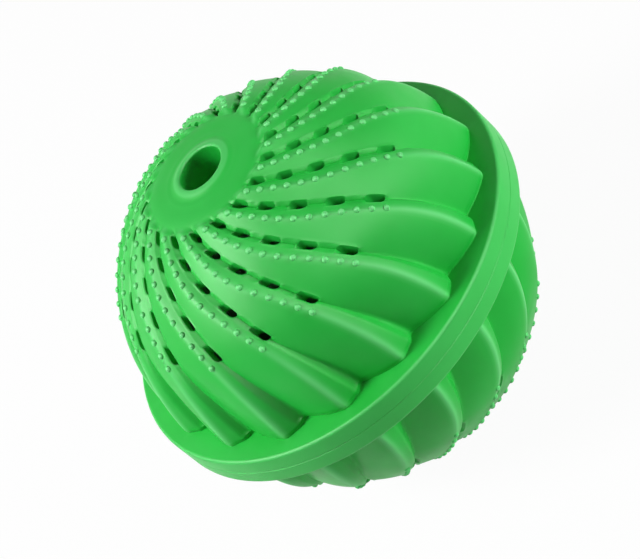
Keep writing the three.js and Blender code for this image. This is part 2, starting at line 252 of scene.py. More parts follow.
# %% [markdown]
# ## A grid that follows the ridge
# The surface is a grid of rows, which are polar angles, and columns, which run with the ridge from groove to
# groove. Five water slots pierce each groove. Cutting them with a Boolean would leave ragged edges along a
# curved wall, so the grid itself makes room: round each slot lies a window of cells whose inner ones are
# left out and whose edge is moved on to the slot's outline, square at the polar end and round at the other.

# %% Lines of a window
SLOT_HALF = 0.85 * MM
LIP = 0.2 * MM
MARGIN = 0.4 * MM
WINDOW_ROWS = np.array([0, 0, -1, -2 / 3, -1 / 3, 0, 1 / 3, 2 / 3, 1, 0, 0])
WINDOW_ACROSS = np.array([0, 0, -1, -0.5, 0, 0.5, 1, 0, 0])
ROW_STEPS = np.array([-2, -1, 0, 0, 0, 0, 0, 0, 0, 1, 2])
ACROSS_STEPS = np.array([-2, -1, 0, 0, 0, 0, 0, 1, 2])
TALL, WIDE = len(WINDOW_ROWS), len(WINDOW_ACROSS)


def window_lines(half, shares, steps):
    """Lines of a window along one side: shares of the half size inside, then the lip and the margin."""
    beyond = np.sign(steps) * (half + LIP + MARGIN * (np.abs(steps) - 1))
    return np.where(steps == 0, shares * half, beyond)


def slot_half_across(angle):
    """Half of a slot's width along the parallel: its true half width times the slant's secant."""
    return SLOT_HALF * np.hypot(1, groove_slant(angle))


print("window:", TALL, "points down by", WIDE, "across")

# %% [markdown]
# Two rings of a window's points are bent on to rounded outlines: the slot's own edge, which is sunk a little,
# and a fine raised lip round it.

# %% Windows round the slots
SLOTS = 5
SLOT_STEP = 6.4
SLOT_STEP_GROWTH = 1.13
SLOT_LENGTH = 3.25 * MM
SLOT_LENGTH_GROWTH = 1.08
SQUARE_END = 0.35
ROUND_END = 0.9
HOLE_SINK = 0.08 * MM
LIP_LIFT = 0.09 * MM
HOLE_RING, LIP_RING = 2, 3  # counted from a window's middle
TINY = 1e-9  # keeps a divisor off zero
CAP_RADIUS = 45.9 * MM
DEGREE = np.radians(CAP_RADIUS)  # arc of one degree on the shell


def round_corners(along, across, half_along, half_across, radius):
    """Points of a rectangle whose corners are pulled in to quarter circles about the corners' centres."""
    over_along = np.maximum(np.abs(along) - (half_along - radius), 0)
    over_across = np.maximum(np.abs(across) - (half_across - radius), 0)
    corner = (over_along > 0) & (over_across > 0)
    pull = np.where(corner, 1 - radius / np.maximum(np.hypot(over_along, over_across), TINY), 0)
    return along - np.sign(along) * over_along * pull, across - np.sign(across) * over_across * pull


def slot_window(middle, length, taper=1.0):
    """Angles, offsets and lifts of one slot's window of 11 by 9 points, with hole and lip rings rounded."""
    half_along = taper * length / 2 / np.hypot(1, groove_slant(middle))
    half_across = taper * slot_half_across(middle)
    rows = window_lines(half_along, WINDOW_ROWS, ROW_STEPS)
    columns = window_lines(half_across, WINDOW_ACROSS, ACROSS_STEPS)
    along, across = np.meshgrid(rows, columns, indexing="ij")
    radius = np.where(along > 0, ROUND_END, SQUARE_END) * half_across
    ring_down = np.abs(np.arange(TALL) - TALL // 2)[:, None] - 1
    ring = np.maximum(ring_down, np.abs(np.arange(WIDE) - WIDE // 2))
    for size, grow in ((HOLE_RING, 0.0), (LIP_RING, LIP)):
        bent = round_corners(along, across, half_along + grow, half_across + grow, radius + grow)
        along, across = np.where(ring == size, bent, (along, across))
    lift = np.where(ring == HOLE_RING, -HOLE_SINK, np.where(ring == LIP_RING, LIP_LIFT, 0))
    return middle + along / DEGREE, across, lift


slot_steps = SLOT_STEP * SLOT_STEP_GROWTH ** np.arange(SLOTS - 1)
slot_places = FIRST_SLOT + np.concatenate([[0], np.cumsum(slot_steps)])
slot_lengths = SLOT_LENGTH * SLOT_LENGTH_GROWTH ** np.arange(SLOTS)
windows = [slot_window(middle, length) for middle, length in zip(slot_places, slot_lengths)]
print("slots at", np.round(slot_places, 1), "degrees from the pole")

# %% [markdown]
# The rows below the windows are plain, and those between them form a shallow channel. The columns stay in the
# same order all the way down: the nine of the window, fourteen up the long slope, four over the crest and nine
# down the flank. The grid's lines therefore run along crest and groove, where the light breaks, and not across
# them.

# %% Outer grid of one ridge
CAP_EDGE = 19.0
LAST_ROW = 81.5
PLAIN_ROWS = 25
SLOPE_STEPS = 14
FLANK_STEPS = 10
CREST_HALF = 0.45 * MM
CREST_SHARES = np.array([-0.5, 0, 0.5, 1])
OUTER_COLUMNS = WIDE + SLOPE_STEPS + len(CREST_SHARES) + FLANK_STEPS - 1
CHANNEL = np.array([0, 0.06, -0.05, -0.02, 0.03, -0.02, -0.05, 0.06, 0]) * MM


def ridge_columns(angle):
    """Offsets from the groove along each row: window lines, then even steps to the crest and off it."""
    angle = angle[:, None]
    edge = slot_half_across(angle) + LIP + MARGIN
    crest = crest_place(angle)
    window = window_lines(slot_half_across(angle), WINDOW_ACROSS, ACROSS_STEPS)
    slope = edge + (crest - CREST_HALF - edge) * np.arange(1, SLOPE_STEPS + 1) / SLOPE_STEPS
    top = crest + CREST_HALF * CREST_SHARES
    shoulder = crest + CREST_HALF
    flank = shoulder + (pitch_width(angle) - edge - shoulder) * np.arange(1, FLANK_STEPS) / FLANK_STEPS
    return np.concatenate([window, slope, top, flank], axis=1)


window_rows = [angles[:, 0] for angles, _, _ in windows]
between = [[(a[-1] + b[0]) / 2] for a, b in zip(window_rows, window_rows[1:])]
plain_rows = np.linspace(window_rows[-1][-1], LAST_ROW, PLAIN_ROWS + 1)[1:]
slot_zone = [part for pair in zip(window_rows, between + [plain_rows]) for part in pair]
row_angle = np.concatenate([[CAP_EDGE], *slot_zone])
window_start = np.array([np.searchsorted(row_angle, rows[0]) for rows in window_rows])

grid_angle = np.repeat(row_angle[:, None], OUTER_COLUMNS, axis=1)
grid_across = ridge_columns(row_angle)
grid_lift = np.zeros_like(grid_angle)
grid_lift[window_start[0] + TALL - 1:window_start[-1] + 1, :WIDE] = CHANNEL
for start, (angles, across, lift) in zip(window_start, windows):
    grid_angle[start:start + TALL, :WIDE] = angles
    grid_across[start:start + TALL, :WIDE] = across
    grid_lift[start + 1:start + TALL - 1, :WIDE] = lift[1:-1]
print("one ridge:", grid_angle.shape[0], "rows by", grid_angle.shape[1], "columns")

# %% [markdown]
# Angles, offsets and heights become points. The relief fades out at the edge of the smooth cap.

# %% Points of the outer surface
RELIEF_FADE = 18.9, 20.5


def about_axis(out, turn, height):
    """Points at a distance out from the axis, a turn about it in radians, and a height."""
    return np.stack(np.broadcast_arrays(out * np.cos(turn), out * np.sin(turn), height), axis=-1)


def on_dome(radius, angle, longitude):
    """Points at a distance from the ball's centre, a polar angle and a longitude."""
    polar = np.radians(angle)
    return about_axis(radius * np.sin(polar), np.radians(longitude), radius * np.cos(polar))


def groove_longitude(angle, across):
    """Longitude of a point beside the groove: slot row, plus widening and offset turned into degrees."""
    parallel = CREST_RADIUS * np.sin(np.radians(angle))
    return groove_line(angle) + np.degrees((groove_widening(angle) + across) / parallel)


def around(values, step=0):
    """One ridge's values repeated for every ridge, each ridge a step further, as one long row."""
    shifted = values[:, None, :] + step * np.arange(RIDGES)[None, :, None]
    return shifted.reshape(len(values), -1)


relief = CREST_RADIUS - ridge_drop(grid_angle, grid_across) + grid_lift
grid_radius = blend((CAP_RADIUS, relief), ease(grid_angle, *RELIEF_FADE))
grid_longitude = groove_longitude(grid_angle, grid_across)
outer_points = on_dome(around(grid_radius), around(grid_angle), around(grid_longitude, PITCH))
print("outer surface:", outer_points.shape[0] * outer_points.shape[1], "points")

# %% [markdown]
# ## Cap, mouth and band
# These parts are round about the axis, so each is a profile turned through the same columns as the ridges.
# Over the ridges come the bore, its rounded lip, which stands a little proud and carries the ball, and the
# cap.

# %% Mouth and cap
MOUTH = 5.6 * MM
MOUTH_ROUND = 0.6 * MM
POLE = 44.95 * MM
HUB_END = 32.95 * MM
LIP_RISE = 0.7 * MM
CAP_EDGE_RADIUS = CAP_RADIUS * np.sin(np.radians(CAP_EDGE))
DIP_START = 6.1 * MM, 8.8 * MM
DIP_END = 9.2 * MM, CAP_EDGE_RADIUS
CAP_RINGS = 16
EDGE_STEPS = 6


def turned(profile, longitude):
    """Rings of points: each radius and height of the profile carried round through all the longitudes."""
    radius, height = np.array(profile)[:, :1], np.array(profile)[:, 1:]
    return about_axis(radius, np.radians(longitude)[None, :], height)


def quarter(middle, radius, start):
    """Profile points on a quarter circle, in even steps of angle from start, clockwise."""
    turn = np.radians(start - np.linspace(0, 90, EDGE_STEPS))
    return np.stack([middle[0] + radius * np.cos(turn), middle[1] + radius * np.sin(turn)], axis=-1)


def cap_height(radius):
    """Height of the cap: the lower of dome and pole, less a dip that eases in off the lip and out again."""
    dome = np.minimum(POLE, np.sqrt(CAP_RADIUS ** 2 - radius ** 2))
    return dome - LIP_RISE * ease(radius, *DIP_START) * (1 - ease(radius, *DIP_END))


lip = quarter((MOUTH + MOUTH_ROUND, POLE - MOUTH_ROUND), MOUTH_ROUND, 180)
cap_radii = np.linspace(MOUTH + MOUTH_ROUND, CAP_EDGE_RADIUS, CAP_RINGS + 2)[1:-1]
cap = np.stack([cap_radii, cap_height(cap_radii)], axis=-1)
mouth_profile = np.concatenate([[[MOUTH, HUB_END], [MOUTH, POLE - 2 * MOUTH_ROUND]], lip, cap])
mouth_points = turned(mouth_profile, around(grid_longitude[:1], PITCH)[0])
first_outer_row = len(mouth_points)
print("mouth and cap:", mouth_points.shape[0], "rings of", mouth_points.shape[1])

# %% [markdown]
# Below the ridges lies the band, with a flat top and a rounded edge. A fine bevel, wider on the lower half,
# leaves a light line where the halves meet. The ridges run out on the flat top, each with its last edge
# slightly rounded off.

# %% Feet of the ridges, and the band
BAND = 50 * MM
BAND_HEIGHT = 8.6 * MM
BAND_ROUND = 0.8 * MM
PARTING_PLANE = 0.95 * MM
PARTING_GAP = 0.02 * MM
UPPER_BEVEL = 0.03 * MM
LOWER_BEVEL = 0.22 * MM
FOOT_HEIGHT = np.array([[1.1], [0.55], [0.18], [0.0]]) * MM
FOOT_SHRINK = np.array([[0.0], [0.1], [0.32], [0.28]]) * MM


def shelf_over(face):
    """Height of the band's flat top over a parting face: half of the band's height without the gap."""
    return face + (BAND_HEIGHT - PARTING_GAP) / 2


def ridge_feet(shelf):
    """Last rows of the ridges: their section at the shelf, drawn in a little on the way down to it."""
    angle = np.degrees(np.arccos(shelf / CREST_RADIUS)) * np.ones(1)
    across = ridge_columns(angle)
    radius = CREST_RADIUS - ridge_drop(angle[:, None], across) - FOOT_SHRINK
    polar = np.degrees(np.arccos((shelf + FOOT_HEIGHT) / radius))
    longitude = around(np.repeat(groove_longitude(angle[:, None], across), len(FOOT_HEIGHT), axis=0), PITCH)
    return on_dome(around(radius), around(polar), longitude), longitude[0]


def band_side(face, bevel, longitude):
    """Rings of one half of the band: its rounded edge, its outer face and the bevel at the parting face."""
    edge = quarter((BAND - BAND_ROUND, shelf_over(face) - BAND_ROUND), BAND_ROUND, 90)
    corner = [[BAND, face + bevel], [BAND - bevel, face]]
    return turned(np.concatenate([edge, corner]), longitude)


upper_face = PARTING_GAP / 2 + PARTING_PLANE
lower_face = PARTING_GAP / 2 - PARTING_PLANE
print("flat top of the upper half:", round(shelf_over(upper_face) / MM, 2), "mm up")

# %% [markdown]
# ## The inside of a shell
# The inner wall follows the floor of the grooves, a wall's thickness below it. It needs far fewer points, so it
# keeps the nine columns of each window, which the walls of the slots need, and only three more per ridge. The
# slots narrow a little towards the inside. A mould opens along the ball's axis, so their walls lean the same
# way, and the wall nearer to the pole shows in each slot.

# %% Inner surface
WALL = 1.9 * MM
SLOT_TAPER = 0.96
SLOT_LEAN = 0.8
LEAN_FADE = 57, 72
KEPT_ROWS = np.array([4, 8, 12, 16])
KEPT_STEP = 7
KEPT_COLUMNS = np.concatenate([np.arange(WIDE), np.arange(WIDE - 1 + KEPT_STEP, OUTER_COLUMNS, KEPT_STEP)])
INNER_COLUMNS = len(KEPT_COLUMNS)


def inner_wall(angle):
    """Distance of the inner surface from the ball's centre: the groove's floor less the wall."""
    return CREST_RADIUS - groove_depth(angle) - WALL


def leaned(angle):
    """Polar angle inside: the angle plus a share, fading below the slots, of the shift along the axis."""
    parallel = np.sin(np.radians(angle)) * (1 + WALL / inner_wall(angle))
    shift = np.degrees(np.arcsin(np.minimum(parallel, 1))) - angle
    return angle + SLOT_LEAN * shift * (1 - ease(angle, *LEAN_FADE))


last_window_row = window_start[-1] + TALL - 1
inner_rows = np.concatenate([np.arange(1, last_window_row + 1), last_window_row + KEPT_ROWS])
narrow_angle, narrow_across = grid_angle.copy(), grid_across.copy()
for start, middle, length in zip(window_start, slot_places, slot_lengths):
    angles, across, _ = slot_window(middle, length, SLOT_TAPER)
    narrow_angle[start:start + TALL, :WIDE] = angles
    narrow_across[start:start + TALL, :WIDE] = across
inner_angle = leaned(narrow_angle[inner_rows][:, KEPT_COLUMNS])
inner_longitude = around(groove_longitude(narrow_angle, narrow_across)[inner_rows][:, KEPT_COLUMNS], PITCH)
inner_points = on_dome(around(inner_wall(inner_angle)), around(inner_angle), inner_longitude)[::-1]
print("inside of a half:", inner_points.shape[0], "rings of", inner_points.shape[1])

# %% [markdown]
# The upper half ends in a spigot and the lower half in a plain socket, with room for a thread between them.
# Under each cap, a collar and a hub hold the tube in place.

# %% Profiles of joint and hub
SPIGOT_DEPTH = 7 * MM
SPIGOT_EDGE = 0.4 * MM
SPIGOT_WALL = 1.8 * MM
RUNNING_GAP = 0.3 * MM
THREAD_CLEARANCE = 0.4 * MM
THREAD_ENGAGEMENT = 0.9 * MM
COLLAR = 9.6 * MM
COLLAR_END = 38.35 * MM
HUB = 7.6 * MM

neck_height = PARTING_PLANE + SPIGOT_DEPTH
neck = np.sqrt((CREST_RADIUS - FULL_DEPTH - WALL) ** 2 - neck_height ** 2)
spigot = neck - 2 * THREAD_CLEARANCE - THREAD_ENGAGEMENT
spigot_bore = spigot - SPIGOT_WALL
spigot_end = PARTING_PLANE - SPIGOT_DEPTH + RUNNING_GAP
spigot_profile = [
    [spigot, upper_face], [spigot, spigot_end + SPIGOT_EDGE], [spigot - SPIGOT_EDGE, spigot_end],
    [spigot_bore + SPIGOT_EDGE, spigot_end], [spigot_bore, spigot_end + SPIGOT_EDGE],
    [spigot_bore, neck_height], [neck, neck_height],
]
socket_profile = [[neck, lower_face], [neck, SPIGOT_DEPTH - PARTING_PLANE]]
hub_profile = [[COLLAR, POLE - WALL], [COLLAR, COLLAR_END], [HUB, COLLAR_END], [HUB, HUB_END]]
hub_points = turned(hub_profile, inner_longitude[0])
print("spigot of", round(2 * spigot / MM, 1), "mm in a socket of", round(2 * neck / MM, 1), "mm")

# %% [markdown]
# ## Closing the shell
# Outside and inside are two grids. Quads fill them, except in the slots, whose edges are joined through the
# wall. At the parting face and at the end of the hub, the many columns of the outside meet the few of the
# inside in flat faces. Every edge then belongs to exactly two faces.

# %% Helpers for faces
LOOP_ROW = np.array([2, 3, 4, 5, 6, 7, 8, 8, 8, 8, 8, 7, 6, 5, 4, 3, 2, 2, 2, 2])
LOOP_COLUMN = np.array([2, 2, 2, 2, 2, 2, 2, 3, 4, 5, 6, 6, 6, 6, 6, 6, 6, 5, 4, 3])


def numbered(points):
    """Running numbers of a grid's points, in the shape of the grid."""
    return np.arange(points[..., 0].size).reshape(points.shape[:-1])


def quads_between(index):
    """Quads of a closed grid: each point, the one below it, and the two beside those."""
    above, below = index[..., :-1, :], index[..., 1:, :]
    return np.stack([above, below, np.roll(below, -1, -1), np.roll(above, -1, -1)], axis=-1)


def slot_cells(grid, starts, columns):
    """True for the cells inside the slots: those within the loop's rows and columns of every window."""
    row = np.arange(len(grid) - 1)[:, None, None] - starts
    column = np.arange(grid.shape[1]) % columns
    in_rows = ((row >= LOOP_ROW.min()) & (row < LOOP_ROW.max())).any(-1)
    return in_rows & (column >= LOOP_COLUMN.min()) & (column < LOOP_COLUMN.max())


def flat_face(many, few):
    """Faces between a ring of many points and one of few: quads at the windows, ten-sided faces between."""
    ridge = np.arange(RIDGES)[:, None]
    near = (ridge * OUTER_COLUMNS + np.arange(WIDE - 1)).ravel()
    low = (ridge * INNER_COLUMNS + np.arange(WIDE - 1)).ravel()
    quads = np.stack([many[near], few[low], few[low + 1], many[near + 1]], axis=-1)
    far = (ridge * OUTER_COLUMNS + KEPT_COLUMNS[WIDE - 1:]).ravel()
    high = (ridge * INNER_COLUMNS + np.arange(WIDE - 1, INNER_COLUMNS)).ravel()
    fan = many[(far[:, None] + np.arange(KEPT_STEP, 0, -1)) % len(many)]
    wide = np.column_stack([many[far], few[high], few[(high + 1) % len(few)], fan])
    return quads, wide


print("edge of a slot:", len(LOOP_ROW), "points")

# %% [markdown]
# Both halves are made with the pole up, and the lower one is then turned upside down.

# %% Faces of a half shell
def half_shell(face, bevel, joint):
    """Points and faces of a half with its pole up, closed along a joint profile inside its parting face."""
    feet, foot_longitude = ridge_feet(shelf_over(face))
    fine = np.concatenate([mouth_points, outer_points, feet, band_side(face, bevel, foot_longitude)])
    joint_points = turned(joint, inner_longitude[-1])
    coarse = np.concatenate([joint_points, inner_points, hub_points])
    fine_index = numbered(fine)
    coarse_index = fine_index.size + numbered(coarse)
    inner_row = len(joint_points) + len(inner_points) - (window_start + TALL - 1)
    outer_open = slot_cells(fine, first_outer_row + window_start, OUTER_COLUMNS)
    inner_open = slot_cells(coarse, inner_row, INNER_COLUMNS)

    ridge = np.arange(RIDGES)[None, :, None]
    outer_row = first_outer_row + window_start[:, None, None] + LOOP_ROW
    outer_loop = fine_index[outer_row, ridge * OUTER_COLUMNS + LOOP_COLUMN]
    wall_row = inner_row[:, None, None] + TALL - 1 - LOOP_ROW
    inner_loop = coarse_index[wall_row, ridge * INNER_COLUMNS + LOOP_COLUMN]
    slot_wall = np.stack([outer_loop, np.roll(outer_loop, -1, -1), np.roll(inner_loop, -1, -1), inner_loop], -1)

    joint_quads, joint_wide = flat_face(fine_index[-1], coarse_index[0])
    hub_quads, hub_wide = flat_face(fine_index[0], coarse_index[-1])
    four_sided = [
        quads_between(fine_index)[~outer_open], quads_between(coarse_index)[~inner_open],
        slot_wall.reshape(-1, 4), joint_quads, hub_quads[:, ::-1],
    ]
    faces = np.concatenate(four_sided).tolist() + joint_wide.tolist() + hub_wide[:, ::-1].tolist()
    return np.concatenate([fine.reshape(-1, 3), coarse.reshape(-1, 3)]), faces


def mirrored(points, faces):
    """The same points with their heights negated, and faces that run the other way round to match."""
    return points * [1, 1, -1], [face[::-1] for face in faces]


upper_half = half_shell(upper_face, UPPER_BEVEL, spigot_profile)
lower_half = mirrored(*half_shell(lower_face, LOWER_BEVEL, socket_profile))
print("faces of a half:", len(upper_half[1]))

# %% [markdown]
# ## The coarse thread
# Four short lugs on the spigot run under four ramps in the socket, so that a quarter turn frees the halves.
# A screw modifier could sweep them, but the section is only a rectangle, so it is carried along the helix.

# %% Lugs and ramps
THREAD_STARTS = 4
THREAD_LEAD = 36 * MM
THREAD_HEIGHT = 1.4 * MM
THREAD_ROOT = 0.4 * MM
LUG_SPAN = 24
RAMP_SPAN = 30
RIB_SECTIONS = 13


def thread_ribs(inside, outside, span, height):
    """Ribs whose rectangle climbs with the turn: height plus the lead times the share of a full turn."""
    along = np.linspace(-span / 2, span / 2, RIB_SECTIONS)
    turn = np.radians(360 / THREAD_STARTS * np.arange(THREAD_STARTS)[:, None] + along)[..., None]
    radius = np.array([inside, outside, outside, inside])
    rise = height + THREAD_LEAD * along[:, None] / 360 + THREAD_HEIGHT / 2 * np.array([-1, -1, 1, 1])
    points = about_axis(radius, turn, rise)
    index = numbered(points)
    sides = quads_between(index).reshape(-1, 4)
    return points.reshape(-1, 3), np.concatenate([sides, index[:, 0], index[:, -1, ::-1]]).tolist()


def joined(first, second):
    """Two sets of points and faces as one, with the second's faces counted on from the first's points."""
    shift = len(first[0])
    moved = [[corner + shift for corner in face] for face in second[1]]
    return np.concatenate([first[0], second[0]]), first[1] + moved


lug_height = spigot_end + THREAD_HEIGHT / 2 + THREAD_LEAD * LUG_SPAN / 2 / 360
ramp_height = lug_height + THREAD_HEIGHT + RUNNING_GAP
lugs = thread_ribs(spigot - THREAD_ROOT, neck - THREAD_CLEARANCE, LUG_SPAN, lug_height)
ramps = thread_ribs(spigot + THREAD_CLEARANCE, neck + THREAD_ROOT, RAMP_SPAN, ramp_height)
print("ribs:", 2 * THREAD_STARTS, "with", len(lugs[1]) + len(ramps[1]), "faces")

# %% [markdown]
# ## Pale wear and painted highlights
# In the drum, cloth rubs the crests and the lip pale, and the same paler green also paints the sheen on the
# crests and the highlight lines on the lip, the ridges' ends and the band's edge. A pattern on Object
# coordinates can't find a crest, but the grid knows where it is, so each point of the outside gets its share:
# a bell curve across every crest, stronger towards the band, and a little on the lip and the band's side.
# It is kept with the mesh as an attribute, which the plastic's material reads later.

# %% Pale wear and painted highlights of the outside
# Paler crests are painted sheen together with some pale rubbing, stronger towards the band.
CREST_WEAR_AND_SHEEN = 0.3, 0.8
WEAR_AND_SHEEN_ANGLES = 50, 75
WEAR_AND_SHEEN_HALF = 0.9 * MM
# Lip, ridge ends and band edge get painted highlight lines together with some pale rubbing.
LIP_WEAR_AND_HIGHLIGHT = 0.4
FOOT_WEAR_AND_HIGHLIGHT = np.array([[1.0], [0.9], [0.6], [0.1]])
BAND_WEAR_AND_HIGHLIGHT = np.array([0.0, 0.15, 0.35, 0.35, 0.3, 0.25, 0.25, 0.25])


def crest_wear_and_sheen(angle, across):
    """Bell curve of the distance past the crest, times a share that eases up towards the band."""
    past = across - crest_place(angle)
    return blend(CREST_WEAR_AND_SHEEN, ease(angle, *WEAR_AND_SHEEN_ANGLES)) * np.exp(-((past / WEAR_AND_SHEEN_HALF) ** 2))


lip_wear_and_highlight = LIP_WEAR_AND_HIGHLIGHT * (mouth_profile[:, 1:] > POLE - MOUTH_ROUND / 2)
outer_wear_and_sheen = around(crest_wear_and_sheen(grid_angle, grid_across))
wear_and_sheen_rows = [lip_wear_and_highlight, outer_wear_and_sheen, FOOT_WEAR_AND_HIGHLIGHT * outer_wear_and_sheen[-1:], BAND_WEAR_AND_HIGHLIGHT[:, None]]
shell_wear_and_sheen = np.concatenate([rows + np.zeros(outer_wear_and_sheen.shape[1]) for rows in wear_and_sheen_rows]).ravel()
print("wear: up to", round(float(shell_wear_and_sheen.max()), 2))

# %% [markdown]
# ## Into the mesh
# One helper makes every piece. It drops points that no face uses, shades the faces smoothly but keeps sharp
# the edges that turn by more than a set angle, and says whether the piece is closed.

# %% Make the two shells
CRISP = 40
SMOOTH = 180


def make_piece(name, body, points, faces, sharp=CRISP, wear_and_sheen=()):
    """A mesh object at the origin that rides on a body; edges that turn more than sharp stay crisp."""
    points = points.reshape(-1, 3)
    used, renamed = np.unique(np.concatenate(faces), return_inverse=True)
    ends = np.cumsum([len(face) for face in faces])
    mesh = bpy.data.meshes.new(name)
    mesh.from_pydata(points[used].tolist(), [], [part.tolist() for part in np.split(renamed, ends[:-1])])
    mesh.shade_smooth()
    mesh.set_sharp_from_angle(angle=np.radians(sharp))
    # The stored pale share is rubbing and also painted sheen and highlights.
    pale_wear_and_sheen = mesh.attributes.new("wear_and_sheen", "FLOAT", "POINT")
    pale_wear_and_sheen.data.foreach_set("value", np.pad(wear_and_sheen, (0, len(points) - len(wear_and_sheen)))[used].astype(np.float32))
    edge_of_corner = np.empty(len(mesh.loops), np.int32)
    mesh.loops.foreach_get("edge_index", edge_of_corner)
    loose = np.count_nonzero(np.bincount(edge_of_corner, minlength=len(mesh.edges)) != 2)
    triangles = len(mesh.loops) - 2 * len(mesh.polygons)
    piece = bpy.data.objects.new(name, mesh)
    scene.collection.objects.link(piece)
    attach(piece, body)
    print(f"{name}: {triangles} triangles, {loose} edges not shared by two faces")
    return piece


upper_shell = make_piece("ridged_upper_half", "upper_half", *joined(upper_half, lugs), wear_and_sheen=shell_wear_and_sheen)
lower_shell = make_piece("ridged_lower_half", "lower_half", *joined(lower_half, ramps), wear_and_sheen=shell_wear_and_sheen)
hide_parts("upper_shell")
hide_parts("lower_shell")

# %% [markdown]
# ## Rows of nubs
# Twelve small nubs stand on each crest and rub the cloth, which rubs them pale in turn, and their paler tops
# also paint the highlights they catch. They could be instanced on points, but instances are awkward to export,
# so all 216 of a half are computed at once: a round-topped profile, turned in ten steps about the line that
# stands straight up from the shell.

# %% Nubs on the crests
NUBS = 12
FIRST_NUB = 21.9
NUB_STEP = 2.95
NUB_STEP_GROWTH = 0.02
NUB_SIDES = 10
NUB_PROFILE = np.array([[0.78, -0.4], [0.74, 0.0], [0.6, 0.26], [0.34, 0.43], [0.0, 0.5]]) * MM
# Paler nub tops: pale rubbing together with a painted highlight.
NUB_WEAR_AND_HIGHLIGHT = np.array([0.4, 0.6, 1.0, 1.0, 1.0])


def nub_places():
    """Distances, polar angles and longitudes of the nubs, which step a little wider down each crest."""
    step = np.arange(NUBS)[:, None]
    angle = FIRST_NUB + NUB_STEP * step + NUB_STEP_GROWTH * step ** 2
    across = crest_place(angle)
    radius = CREST_RADIUS - ridge_drop(angle, across)
    return around(radius), around(angle), around(groove_longitude(angle, across), PITCH)


def nub_points():
    """Each nub's profile turned about its own outward line: out, plus cosine south and sine east."""
    radius, angle, longitude = (value.ravel()[:, None, None] for value in nub_places())
    polar, turn = np.radians(angle), np.radians(longitude)
    out = about_axis(np.sin(polar), turn, np.cos(polar))
    south = about_axis(np.cos(polar), turn, -np.sin(polar))
    east = np.stack([-np.sin(turn), np.cos(turn), 0 * turn], axis=-1)
    spin = np.linspace(0, 2 * np.pi, NUB_SIDES, endpoint=False)[None, None, :, None]
    wide, high = NUB_PROFILE[None, :, None, :1], NUB_PROFILE[None, :, None, 1:]
    centre = out * (radius[..., None] + high)
    return centre + wide * (np.cos(spin) * south + np.sin(spin) * east)


nubs = nub_points()
nub_index = numbered(nubs)
nub_index[:, -1] = nub_index[:, -1, :1]
nub_sides = quads_between(nub_index[:, -2::-1]).reshape(-1, 4)
nub_tops = np.stack([np.roll(nub_index[:, -2], -1, 1), nub_index[:, -1], nub_index[:, -2]], -1).reshape(-1, 3)
nub_faces = nub_sides.tolist() + nub_tops.tolist() + nub_index[:, 0, ::-1].tolist()
nub_wear_and_highlight = np.broadcast_to(NUB_WEAR_AND_HIGHLIGHT[:, None], nubs.shape[:3]).ravel()
upper_nubs = make_piece("upper_nubs", "upper_half", nubs, nub_faces, SMOOTH, nub_wear_and_highlight)
lower_nubs = make_piece("lower_nubs", "lower_half", *mirrored(nubs, nub_faces), SMOOTH, nub_wear_and_highlight)

# %% [markdown]
# ## The tube between the poles
# A plain tube runs on the two hubs and keeps the beads out of the bore. It is a profile again, with its edges
# broken by small bevels, as a sawn and deburred tube has them.

# %% Core tube
TUBE_BORE = 7.9 * MM
TUBE_RADIUS = 9.6 * MM
TUBE_END = 38.05 * MM
TUBE_BEVEL = 0.35 * MM
TUBE_SIDES = 96

tube_edge = [
    [TUBE_BORE, TUBE_END - TUBE_BEVEL], [TUBE_BORE + TUBE_BEVEL, TUBE_END],
    [TUBE_RADIUS - TUBE_BEVEL, TUBE_END], [TUBE_RADIUS, TUBE_END - TUBE_BEVEL],
]
tube_profile = tube_edge + [[radius, -height] for radius, height in tube_edge[::-1]]
tube_points = turned(tube_profile, np.linspace(0, 360, TUBE_SIDES, endpoint=False))
tube_index = numbered(tube_points)
tube_faces = quads_between(np.concatenate([tube_index, tube_index[:1]])).reshape(-1, 4)
tube = make_piece("smooth_core_tube", "core", tube_points, tube_faces.tolist())
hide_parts("core_tube")

# %% [markdown]
# ## Ceramic beads
# Fired clay beads are rolled, so no two are quite round. Each takes the place of its node in the packed
# model, whose box gives its middle and its radius, and two slow waves over the ball make it a little uneven.
# The nine beads of a chamber are one piece, because they move together.

# %% Four charges of beads
BEAD_KINDS = ("ivory", "grey", "pink", "tan")
BEADS = 9
BEAD_ROWS = 14
BEAD_SIDES = 22
BEAD_SHARE = 0.97
BEAD_PHASE = 2.4
BEAD_WAVE = 0.006


def bead_points(kind, seed):
    """Balls about the nodes' middles: the radius, less the waves' height, plus two waves of angle and turn."""
    corners = np.array([[list(c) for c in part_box(f"{kind}_bead_{i + 1}")] for i in range(BEADS)])
    middle = corners.mean(axis=1)[:, None, None, :]
    radius = (corners[:, 1] - corners[:, 0]).mean(axis=1)[:, None, None] / 2 * BEAD_SHARE
    polar = np.linspace(0, np.pi, BEAD_ROWS)[None, :, None]
    turn = np.linspace(0, 2 * np.pi, BEAD_SIDES, endpoint=False)[None, None, :]
    phase = seed + BEAD_PHASE * np.arange(BEADS)[:, None, None]
    wave = np.sin(2 * turn + phase) * np.sin(polar) ** 2 + np.cos(3 * polar + phase)
    reach = radius * (1 - 2 * BEAD_WAVE + BEAD_WAVE * wave)
    return middle + reach[..., None] * about_axis(np.sin(polar), turn, np.cos(polar))


def ball_faces(index):
    """Quads of each ball's rows, with a fan of triangles at either pole."""
    quads = quads_between(index[:, 1:-1]).reshape(-1, 4)
    top = np.stack([index[:, 0] * 0 + index[:, 0, :1], index[:, 1], np.roll(index[:, 1], -1, 1)], -1)
    foot = np.stack([index[:, -1] * 0 + index[:, -1, :1], np.roll(index[:, -2], -1, 1), index[:, -2]], -1)
    return quads.tolist() + top.reshape(-1, 3).tolist() + foot.reshape(-1, 3).tolist()


